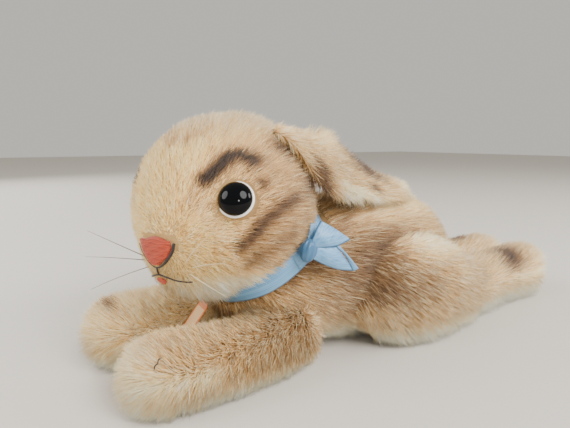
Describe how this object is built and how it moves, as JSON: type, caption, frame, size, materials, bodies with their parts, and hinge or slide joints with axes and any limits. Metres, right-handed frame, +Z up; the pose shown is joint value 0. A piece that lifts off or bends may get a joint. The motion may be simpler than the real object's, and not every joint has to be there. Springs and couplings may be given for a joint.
{
  "type": "stuffed bunny rabbit",
  "caption": "Stuffed mohair bunny rabbit lying on its belly, with a turning head, drooping ears and a blue satin ribbon bow.",
  "frame": {"origin": "on the surface the toy lies on, in the torso's middle plane, under the middle of the belly", "axes": "+Z up, -Y the way the rabbit faces, +X towards the rabbit's left"},
  "size_m": [0.1334, 0.2791, 0.1107],
  "materials": {
    "tan_mohair": "matte",
    "pale_mohair": "matte",
    "short_mohair": "matte",
    "wood_wool": "matte",
    "fibre_board": "matte",
    "steel_wire": "satin",
    "black_glass": "gloss",
    "white_glass": "gloss",
    "coral_thread": "satin",
    "black_thread": "matte",
    "bristle": "satin",
    "blue_satin": "satin",
    "tag_card": "matte",
    "tag_thread": "matte"
  },
  "bodies": {
    "body": {"body_cover": "tan_mohair", "body_stuffing": "wood_wool", "bow_knot": "blue_satin", "bow_loop_lower": "blue_satin", "bow_loop_upper": "blue_satin", "bow_tail_lower": "blue_satin", "bow_tail_upper": "blue_satin", "front_leg_left_cover": "tan_mohair", "front_leg_left_stuffing": "wood_wool", "front_leg_right_cover": "tan_mohair", "front_leg_right_stuffing": "wood_wool", "hind_leg_left_cover": "tan_mohair", "hind_leg_left_stuffing": "wood_wool", "hind_leg_right_cover": "tan_mohair", "hind_leg_right_stuffing": "wood_wool", "neck_disc_body": "fibre_board", "neck_washer_body": "steel_wire", "ribbon_collar": "blue_satin", "tag_thread": "tag_thread", "tail": "pale_mohair"},
    "head": {"eye_dome_left": "black_glass", "eye_dome_right": "black_glass", "eye_rim_left": "white_glass", "eye_rim_right": "white_glass", "eye_shank_left": "steel_wire", "eye_shank_right": "steel_wire", "head_cover": "tan_mohair", "head_stuffing": "wood_wool", "lip_stitch": "coral_thread", "mouth_stitch": "black_thread", "mouth_stitch_middle": "black_thread", "neck_disc_head": "fibre_board", "neck_split_pin": "steel_wire", "neck_washer_head": "steel_wire", "nose_outline": "black_thread", "nose_stitching": "coral_thread", "whisker_left_1": "bristle", "whisker_left_2": "bristle", "whisker_left_3": "bristle", "whisker_right_1": "bristle", "whisker_right_2": "bristle", "whisker_right_3": "bristle"},
    "ear_left": {"ear_left_back": "tan_mohair", "ear_left_lining": "short_mohair"},
    "ear_right": {"ear_right_back": "tan_mohair", "ear_right_lining": "short_mohair"},
    "tag": {"chest_tag": "tag_card"}
  },
  "joints": [
    {"name": "neck_swivel", "type": "hinge", "parent": "body", "child": "head", "pos_m": [0, -0.0635, 0.0555], "axis": [0, -0.5592, 0.829], "range_deg": [-60, 4]},
    {"name": "ear_left_lift", "type": "hinge", "parent": "head", "child": "ear_left", "pos_m": [0.014, -0.057, 0.1039], "axis": [0.951, -0.1502, -0.2703], "range_deg": [0, 80]},
    {"name": "ear_right_lift", "type": "hinge", "parent": "head", "child": "ear_right", "pos_m": [-0.03511, -0.0805, 0.08805], "axis": [0.2368, 0.7187, 0.6538], "range_deg": [0, 80]},
    {"name": "tag_swing", "type": "hinge", "parent": "body", "child": "tag", "pos_m": [0, -0.0884, 0.0296], "axis": [1, 0, 0], "range_deg": [-30, 15]}
  ]
}
